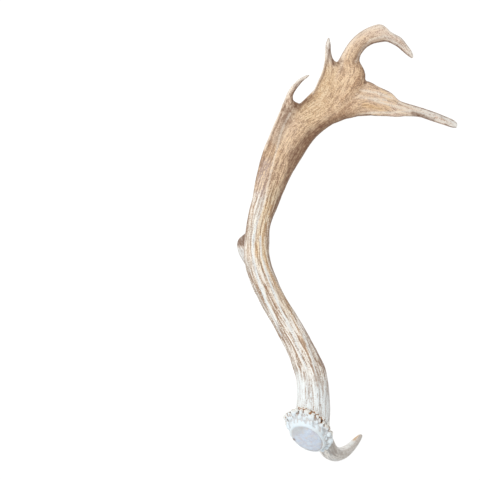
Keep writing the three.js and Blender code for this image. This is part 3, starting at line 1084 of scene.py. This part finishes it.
        # painted shade on what faces down
        total += 0.3 * smoothstep(0.0, -0.6, looks.upward)
        total += growth.blend(TAUPE_TINES)
        # painted shade round the brow tine's edges
        total += 0.6 * on["brow"] * smoothstep(3.2, 0.6, growth.reach)
        return total

    def umber(self, surface, growth, looks):
        """Dark brown in the hollows and on the inner bend, partly stains and partly painted shade,
        and painted shade on the turned edges, along the outline, on the hook's inner side and
        where the trez tine tucks under the beam.
        """
        on, laid, y = growth.on, looks.marks.laid, looks.y
        # darker on the right of the inner bend, partly stains and partly painted shade on its
        # concave side
        bend = smoothstep(0.4, 0.95, growth.across["beam"]) * on["beam"] * smoothstep(22, 80, y)
        turned = smoothstep(-0.5, 0.0, looks.upward)
        # painted shade on faces that tilt away from up
        edge = 0.5 * smoothstep(0.5, 0.1, looks.upward) * turned
        # painted shade: a thin dark outline near each limb's edge where it turns down
        outline = growth.blend(OUTLINE_SHADE) * (1 - 0.6 * smoothstep(-0.2, -0.7, looks.outer))
        outline *= smoothstep(2.0, 0.7, growth.reach) * turned
        total = laid(UMBER_STROKES) + laid(UMBER_RIMS, rim=True)
        total += bend * (0.65 + 0.25 * smoothstep(60, 95, y))
        total += edge * (1 - looks.lower) * (1 - 0.7 * looks.polish) * (1 - looks.worn)
        total += outline * (0.5 + grains(surface.points, 6 * MM, 17))
        # painted shade on the hook's inner side, plus the dark veins
        total += 0.35 * smoothstep(0.2, 0.9, looks.outer) + 0.3 * looks.veins
        # painted shade where the trez tine tucks under the beam
        total += 1.1 * on["trez"] * smoothstep(-7, 0, y)
        total *= (1 - 0.9 * looks.pale_rim) * (1 - 0.8 * np.clip(looks.ridge, 0, 1))
        return total + laid(UMBER_OUTLINES, rim=True)

    def bare_and_highlight(self, growth, looks):
        """Clean bone on the ridges, the tips and wherever else it is rubbed pale, and painted
        highlight on the lit left rims and on the hook's outer side.
        """
        mark = looks.marks.mark
        fading = 0.95 * smoothstep(-5, 35, looks.x)
        return np.maximum.reduce([
            looks.ridge,
            looks.left_bare,
            0.75 * smoothstep(0.25, 0.75, mark(MIDDLE_BARE, 1.8)),
            *(fading * smoothstep(0.2, 0.7, mark(stroke, 1.5)) for stroke in END_PALE),
            0.8 * sum(mark(stroke, 1.6) for stroke in HOOK_PALE),
            0.75 * looks.polish,
            0.9 * looks.pale_rim,
            0.55 * mark(LEFT_CREAM, 5),
            0.9 * growth.on["trez"] * smoothstep(-4, -9, looks.y),
            # painted highlight on the hook's outer side
            0.7 * smoothstep(-0.3, -0.8, looks.outer),
            0.15 * mark(PALM_LIGHT, 6),
        ])


def skin_material(colours):
    """Bone with brown furrows, fine fibres and pores, and stains, painted shade and painted
    highlights where the mesh keeps them.
    """
    g = Graph("antler bone")
    place = g.place()
    # fibres are long and thin: their noise is scaled up across the growth more than along it
    fibre = g.noise(g.kept_place("grain", (850, 850, 120)), 1.0, 2, 0.5)
    long_fibre = g.noise(g.kept_place("grain", (640, 640, 36)), 1.0, 2, 0.5)
    net = g.noise(place, 850, 2, 0.6)
    mottle = g.noise(place, 300, 3, 0.6)
    cloud = g.noise(place, 60, 3)
    pores = g.cells(g.kept_place("grain", (800, 800, 350)), 1.0).over(0.3, 0.12)
    streak, strand, band = g.kept("streak"), g.kept("strand"), g.kept("band")
    beam, warm, worn, bare_and_highlight = g.kept("beam"), g.kept("warm"), g.kept("worn"), g.kept("bare_and_highlight")
    furrow, sure, straw, chalk = g.kept("furrow"), g.kept("sure"), g.kept("straw"), g.kept("chalk")
    polished = 1.0 - 0.8 * bare_and_highlight

    # fine lines, dark as dashes and light as flecks
    lines = (fibre + beam * 0.7 * (long_fibre - fibre) - 0.5) * sure
    speck = lines * (0.5 + beam * 0.9) + (long_fibre - 0.5) * sure * (0.5 + beam * 0.5)
    speck = speck + (net - 0.5) * (0.9 - beam * 0.6) + (mottle - 0.5) * (0.5 - beam * 0.25)
    speck = speck + (0.5 - streak) * (0.3 + beam * 0.05)
    dashes = speck.over(0.03, 0.15) * (1.0 - 0.65 * worn)
    flecks = (speck * -1.0).over(0.03, 0.15)

    # the colours of clean bone, from the white beam to the brown palm, with painted shade and
    # painted highlights laid in
    tone = (warm + (cloud - 0.5) * 0.5 + (band - 0.5) * 0.3 + (mottle - 0.5) * 0.5).held()
    redder = g.noise(place, 45, 2) + (net - 0.5) * 0.6 + (band - 0.5) * 0.5
    tan = g.mix(redder.over(0.48, 0.62) * 0.85, colours.tan, colours.russet)
    creamy = (warm * 2.5 - 1.0).held()
    pale = g.mix(creamy, colours.bare_and_highlight, colours.cream)
    light = g.lay(
        g.mix(chalk, colours.milk, colours.bare_and_highlight),
        (creamy, colours.cream),
        (warm.over(0.6, 0.9), colours.honey),
        (straw * 0.85, colours.butter),
    )
    ridges = strand.over(0.5, 0.8) * (beam * 0.45 + worn * 0.8)
    colour = g.lay(
        g.mix(tone, colours.ivory, tan),
        (chalk, colours.bare_and_highlight),
        (worn * 0.85, colours.blush),
        (straw * 0.7, colours.straw),
        (g.kept("mauve") * 0.75, colours.mauve),
        # slate: painted shade on the low tines, and a grey on the pale strip low on the beam
        (g.kept("slate"), colours.slate),
        ((flecks * (0.75 + worn * 0.15) + ridges).held(), light),
        ((g.kept("ochre") * (0.6 + 0.5 * strand)).held(), colours.ochre),
        # clean pale bone, and the painted highlight of the lit rims and the hook's outer side
        ((bare_and_highlight * (1.0 + lines * 0.7)).held(), pale),
        # taupe: grey brown, much of it painted shade
        ((g.kept("taupe") * (0.8 + (mottle - 0.5))).held(), colours.taupe),
    )

    # dirt in the furrows and dashes, sharp lines over all, and the stains and painted shade on top
    dashed = 0.66 - beam * 0.24 + g.kept("deep") * 0.3
    patches = cloud.over(0.5, 0.7) * (1.0 - beam) * (1.0 - worn) * 0.14
    dirt = furrow * (0.25 + dashes * 0.4) + dashes * dashed * (1.0 - 0.6 * bare_and_highlight) + patches
    dirt = dirt + (strand * -1.0).over(-0.4, -0.15) * worn * polished * 0.4
    sharp = (lines * 1.4 + (net - 0.5) * 1.2) * g.kept("crisp") * (1.0 - 0.35 * bare_and_highlight)
    # umber: stains, and painted shade on edges, outlines, notches and the trez tine
    stain_and_shade = (g.kept("umber") * (0.8 + lines * 0.9 + (mottle - 0.5) * 0.7)).held()
    colour = g.lay(
        colour,
        (dirt.held(), colours.furrow),
        (g.kept("hollow") * polished * 0.5, colours.furrow),
        (pores * 0.25 * sure, colours.furrow),
        ((sharp * 2.8).held(), colours.furrow),
        ((sharp * -3.6).held(), light),
        (stain_and_shade, colours.umber),
    )
    rough = 0.42 + 0.25 * mottle + 0.15 * furrow
    height = lines * 0.6 + mottle * 0.35 - pores * 0.5 - dashes * 0.3
    return g.surface(Base_Color=colour, Roughness=rough, Normal=g.bump(height, 0.35 * MM))


# ---------------------------------------------------------------- the burr


def turned(name, profile, sides):
    """A round body drawn out ring by ring through [radius, height] stops."""
    select_only()
    first = profile[0]
    bpy.ops.mesh.primitive_circle_add(
        vertices=sides, radius=first[0], fill_type="TRIFAN", location=(0, 0, 0)
    )
    piece = bpy.context.object
    piece.name = piece.data.name = name
    bpy.ops.object.mode_set(mode="EDIT")
    bpy.ops.mesh.select_all(action="SELECT")
    bpy.ops.transform.translate(value=(0, 0, first[1]))
    select_edges(piece, lambda a, b: min(a.xy.length, b.xy.length) > first[0] / 2)
    for (r0, h0), (r1, h1) in zip(profile[:-1], profile[1:]):
        bpy.ops.mesh.extrude_edges_move(TRANSFORM_OT_translate={"value": (0, 0, h1 - h0)})
        bpy.ops.transform.resize(value=(r1 / r0, r1 / r0, 1), center_override=(0, 0, h1))
    bpy.ops.mesh.fill()
    bpy.ops.mesh.select_all(action="SELECT")
    bpy.ops.mesh.normals_make_consistent(inside=False)
    bpy.ops.object.mode_set(mode="OBJECT")
    return piece


def turns(count, stray, rng):
    """Places evenly round the burr, each strayed by up to this share of the way to the next."""
    for i in range(count):
        yield (i + rng.uniform(-stray, stray)) / count * 2 * math.pi


def ring_radius(turn):
    """The middle of the ring of pearls, in millimetres."""
    return BURR_RADIUS + BURR_SWELL * max(-math.cos(turn), 0)


def bead(master, centre, half_axes, turn):
    """A copy of a bead, stretched, turned about the burr's axis and put in its place."""
    piece = master.copy()
    piece.data = master.data.copy()
    bpy.context.collection.objects.link(piece)
    stretch = Matrix.Diagonal((*half_axes, 1))
    spin = Matrix.Rotation(turn, 4, "Z")
    piece.data.transform(spin @ Matrix.Translation(centre) @ stretch)
    return piece


class ANTLER_OT_burr(bpy.types.Operator):
    """Grow the burr with its pearls, its smooth band and the seal"""

    bl_idname = "antler.burr"
    bl_label = "Grow Burr and Seal"

    PROFILE = [
        (14, -13), (21, -8), (24.5, -4.5), (26.5, 0), (26, 4.5), (24.8, 9), (23.2, 12.5),
        (22.0, 14.2), (21.3, 14.4), (20.6, 13.7), (19.8, 14.2), (15, 15.9), (8, 16.8), (2, 17),
    ]
    SIDES = 96
    # how many there are round the burr
    FOLDS, LOW_PEARLS, HIGH_PEARLS, GRIT = 15, 34, 38, 90
    # the turn and the size of each pearl that bulges out at the front
    FRONT_PEARLS = [(-0.5, 3.4), (-0.22, 4.2), (0.08, 3.8), (0.36, 4.4), (0.68, 3.6)]
    NICK = (-13, -15)  # the middle of a dark chip at the seal's edge
    SMOOTHING = 4  # rounds
    HOLLOW_REACH = 16  # rounds of spreading

    def execute(self, context):
        sizes = context.scene.antler_sizes
        rng = np.random.default_rng(5)
        collar = turned("collar", self.PROFILE, self.SIDES)
        select_only()
        bpy.ops.mesh.primitive_ico_sphere_add(subdivisions=3, radius=1, location=(0, 0, 0))
        master = context.object
        beads = self.pearls(master, sizes.pearls, rng)
        bpy.data.objects.remove(master)
        select_only(collar, *beads)
        bpy.ops.object.join()
        burr = context.object
        burr.name = burr.data.name = "burr"
        apply_modifier(burr, "REMESH", mode="VOXEL", voxel_size=sizes.burr_grid / MM)

        surface = Surface(burr)
        surface.relax(np.ones(len(surface.points)), self.SMOOTHING)
        # in millimetres about the burr's own axis, with z out of the seal
        x, y, z = surface.points.T.copy()
        ring = np.hypot(x, y)
        self.roughen(surface, ring, z)
        hollow = smoothstep(0.12, 0.75, surface.hollows(self.HOLLOW_REACH))
        uneven = ring + 1.6 * (grains(surface.points, 9, 12) - 0.5)
        seal = smoothstep(SEAL_RADIUS + 0.9, SEAL_RADIUS - 0.3, uneven) * smoothstep(11.5, 13, z)
        chip = ((x - self.NICK[0]) / 1.6) ** 2 + ((y - self.NICK[1]) / 2.4) ** 2
        nick = np.exp(-chip) * smoothstep(9, 12, z)
        beam_side = smoothstep(5.5, -1, z + 3 * (grains(surface.points, 5, 18) - 0.5))
        edge = np.exp(-(((uneven - SEAL_RADIUS) / 0.8) ** 2)) * smoothstep(12, 14, z)
        surface.points[:, 0] += SEAL_LEAN * np.maximum(z / SEAL_HEIGHT, 0)
        upright = np.array([BURR_SIDEWAYS, BURR_FACING.cross(BURR_SIDEWAYS), BURR_FACING])
        surface.points = surface.points @ upright * MM + np.array(BURR_CENTRE)
        surface.settle()
        surface.store(
            hollow=hollow,
            seal=seal,
            beam_side=beam_side,
            nick=nick,
            # painted shade: a darker rim on the seal's upper-left side
            side=smoothstep(-8, -19, x - 0.3 * y),
            lip=edge * smoothstep(4, 16, x - 0.2 * y),
        )
        bpy.ops.object.shade_smooth()
        burr.data.materials.append(burr_material(context.scene.antler_colours))
        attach(burr, "root")
        return {"FINISHED"}

    def pearls(self, master, count, rng):
        """The large pearls, the folds below them, the small pearls and the grit between."""
        beads = []
        for turn in turns(count, 0.35, rng):
            size = rng.uniform(2.2, 4.6)
            out = ring_radius(turn) + 1.4 - 0.45 * size + rng.uniform(-1, 1)
            centre = (out, 0, rng.uniform(-2, 1.6))
            half = (size * 1.1, size * rng.uniform(0.75, 1.2), size * rng.uniform(0.8, 1.2))
            beads.append(bead(master, centre, half, turn))
        for turn in turns(self.FOLDS, 0.4, rng):
            centre = (24.6 + rng.uniform(-0.5, 0.3), 0, 5.5 + rng.uniform(-1.5, 1.5))
            half = (2.2, rng.uniform(1.6, 3.4), rng.uniform(3.5, 6))
            beads.append(bead(master, centre, half, turn))
        for turn in turns(self.LOW_PEARLS, 0.35, rng):
            size = rng.uniform(1.7, 3.4)
            height = rng.uniform(-7, -3.6)
            centre = (ring_radius(turn) + 0.8 - 0.5 * size + rng.uniform(-2, 0.6), 0, height)
            beads.append(bead(master, centre, (size, size, size * 0.9), turn))
        for turn in turns(self.HIGH_PEARLS, 0.45, rng):
            size = rng.uniform(1.4, 2.9)
            height = rng.uniform(2.6, 6.4)
            centre = (27.9 - 0.2 * height - 0.3 * size + rng.uniform(-0.5, 0.8), 0, height)
            half = (size, size * rng.uniform(0.8, 1.3), size * rng.uniform(0.8, 1.4))
            beads.append(bead(master, centre, half, turn))
        for turn, size in self.FRONT_PEARLS:
            centre = (28.4, 0, 3.6 + rng.uniform(-1, 1))
            beads.append(bead(master, centre, (size, size, size * 1.3), turn))
        for _ in range(self.GRIT):
            turn = rng.uniform(0, 2 * math.pi)
            size = rng.uniform(0.8, 1.5)
            height = rng.uniform(-8, 4)
            centre = (ring_radius(turn) + 1.2 - 0.09 * (height + 1) ** 2, 0, height)
            beads.append(bead(master, centre, (size, size, size), turn))
        return beads

    def roughen(self, surface, ring, z):
        """Pits between the pearls and the grain of the seal, in millimetres."""
        points = surface.points
        on_seal = smoothstep(19, 17, ring) * smoothstep(13, 14, z)
        pits = smoothstep(0.62, 0.3, grains(points, 2.2, 8))
        lumps = grains(points, 5, 9) - 0.5
        seal = 0.5 * (grains(points, 3.5, 10) - 0.5) + 0.3 * (grains(points, 1.4, 11) - 0.5)
        pearly = smoothstep(8, 2, z)
        turn = np.arctan2(points[:, 1], points[:, 0])
        spokes = np.stack([np.cos(turn) * 26, np.sin(turn) * 26, z * 0.25], axis=1)
        folds = (grains(spokes, 3.2, 16) - 0.5) * smoothstep(13, 10, z) * smoothstep(-1, 4, z)
        distance = -0.5 * pits * pearly + 0.7 * lumps * (1 - on_seal) + 1.1 * seal * on_seal
        distance += 1.6 * folds
        surface.points = surface.points + surface.settle() * distance[:, None]


def burr_material(colours):
    """White pearls with rusty pits, a smooth white band and a violet grey seal with painted shade
    on its upper-left rim.
    """
    g = Graph("burr bone")
    place = g.place()
    mottle = g.noise(place, 520, 4, 0.6)
    cloud = g.noise(place, 130, 4, 0.6)
    drift = g.noise(place, 210, 2)
    hollow, seal, beam_side = g.kept("hollow"), g.kept("seal"), g.kept("beam_side")
    white = (0.1 + 0.5 * beam_side + 0.8 * (cloud - 0.5)).held()
    soil = g.mix(drift.over(0.4, 0.6), colours.umber, colours.rust)
    dirt = hollow * beam_side * (0.75 + (mottle - 0.5)) + hollow * 0.3
    dirt = (dirt + (beam_side * (cloud - 0.58) * 0.8).held()).held()
    stone = g.lay(
        g.mix(cloud.over(0.4, 0.65) * 0.4, colours.seal, colours.mauve),
        (drift.over(0.5, 0.66) * 0.35, colours.ivory),
        ((drift * -1.0).over(-0.45, -0.36) * 0.5, colours.frost),
    )
    colour = g.lay(
        g.mix(white, colours.frost, colours.ivory),
        (dirt, soil),
        (seal * (0.85 + 0.3 * (mottle - 0.5)), stone),
        # painted shade on the seal's upper-left rim
        (g.kept("side") * seal * 0.75, colours.slate),
        (g.kept("lip") * 0.5, colours.taupe),
        ((mottle - 0.55).held() * 0.5, colours.taupe),
        (g.kept("nick"), colours.umber),
    )
    height = mottle * 0.5 + cloud * 0.4
    return g.surface(
        Base_Color=colour, Roughness=0.4 + 0.3 * mottle, Normal=g.bump(height, 0.4 * MM)
    )


# ---------------------------------------------------------------- the stage


class ANTLER_OT_stage(bpy.types.Operator):
    """Set the floor, the light and the camera"""

    bl_idname = "antler.stage"
    bl_label = "Set the Stage"

    # each lamp's name, place and size in metres, and power in watts
    LAMPS = [
        ("sky_light", (-0.55, 0.65, 2.75), 2.4, 46),
        ("side_light", (-1.8, -0.3, 1.1), 1.2, 7),
    ]
    TARGET = Vector((-0.05, 0, 0.05))  # what the lamps look at
    FLOOR_SIZE = 24
    ROOM_GLOW = 0.47
    SENSOR = 36  # width of the camera's film, in millimetres
    SIGHT = 100  # metres that the camera sees
    MIDDLE_HEIGHT = 50 * MM  # of the antler, where the view is as wide as its setting

    def execute(self, context):
        stage = context.scene.antler_stage
        select_only()
        bpy.ops.mesh.primitive_plane_add(size=self.FLOOR_SIZE, location=(0, 0, 0))
        floor = context.object
        floor.name = floor.data.name = "floor"
        g = Graph("pale floor")
        floor.data.materials.append(
            g.surface(
                Base_Color=(*stage.floor_colour, 1.0),
                Roughness=0.9,
                Emission_Color=(1, 1, 1, 1),
                Emission_Strength=stage.floor_glow,
            )
        )
        for lamp in self.LAMPS:
            self.light(*lamp)
        self.surroundings(context)
        self.camera(context, stage)
        return {"FINISHED"}

    def light(self, name, place, size, power):
        """A large soft lamp that looks at the middle of the antler."""
        bpy.ops.object.light_add(type="AREA", location=place)
        lamp = bpy.context.object
        lamp.name = lamp.data.name = name
        lamp.data.size = size
        lamp.data.energy = power
        lamp.rotation_euler = (self.TARGET - Vector(place)).to_track_quat("-Z", "Y").to_euler()

    def surroundings(self, context):
        """A white room."""
        world = bpy.data.worlds.new("white room")
        world.use_nodes = True
        background = world.node_tree.nodes["Background"].inputs
        background["Color"].default_value = (1, 1, 1, 1)
        background["Strength"].default_value = self.ROOM_GLOW
        context.scene.world = world
        context.scene.view_settings.view_transform = "Standard"

    def camera(self, context, stage):
        """A long lens straight above the antler."""
        bpy.ops.object.camera_add(
            location=(stage.view_x, stage.view_y, stage.view_distance), rotation=(0, 0, 0)
        )
        camera = context.object
        camera.name = camera.data.name = "camera"
        camera.data.sensor_fit = "HORIZONTAL"
        camera.data.sensor_width = self.SENSOR
        distance = stage.view_distance - self.MIDDLE_HEIGHT
        camera.data.lens = self.SENSOR * distance / stage.view_width
        camera.data.clip_end = self.SIGHT
        context.scene.camera = camera


# ---------------------------------------------------------------- the add-on


class ANTLER_PT_panel(bpy.types.Panel):
    """The steps that make the antler"""

    bl_label = "Cast Antler"
    bl_idname = "ANTLER_PT_panel"
    bl_space_type = "VIEW_3D"
    bl_region_type = "UI"
    bl_category = "Antler"

    def draw(self, context):
        for operator in OPERATORS:
            self.layout.operator(operator.bl_idname)
        for settings in ("antler_sizes", "antler_colours", "antler_stage"):
            group = getattr(context.scene, settings)
            for name in group.bl_rna.properties.keys():
                if name not in {"rna_type", "name"}:
                    self.layout.prop(group, name)


OPERATORS = (ANTLER_OT_skin, ANTLER_OT_burr, ANTLER_OT_stage)
SETTINGS = {
    "antler_sizes": AntlerSizes,
    "antler_colours": AntlerColours,
    "antler_stage": StageSizes,
}


def register():
    """Adds the settings, the operators and the panel."""
    for group in SETTINGS.values():
        bpy.utils.register_class(group)
    for name, group in SETTINGS.items():
        setattr(bpy.types.Scene, name, bpy.props.PointerProperty(type=group))
    for operator in OPERATORS:
        bpy.utils.register_class(operator)
    bpy.utils.register_class(ANTLER_PT_panel)


def unregister():
    """Takes them out again."""
    bpy.utils.unregister_class(ANTLER_PT_panel)
    for operator in reversed(OPERATORS):
        bpy.utils.unregister_class(operator)
    for name, group in SETTINGS.items():
        delattr(bpy.types.Scene, name)
        bpy.utils.unregister_class(group)


def main():
    register()
    bpy.ops.antler.skin()
    bpy.ops.antler.burr()
    bpy.ops.antler.stage()


if __name__ == "__main__":
    main()
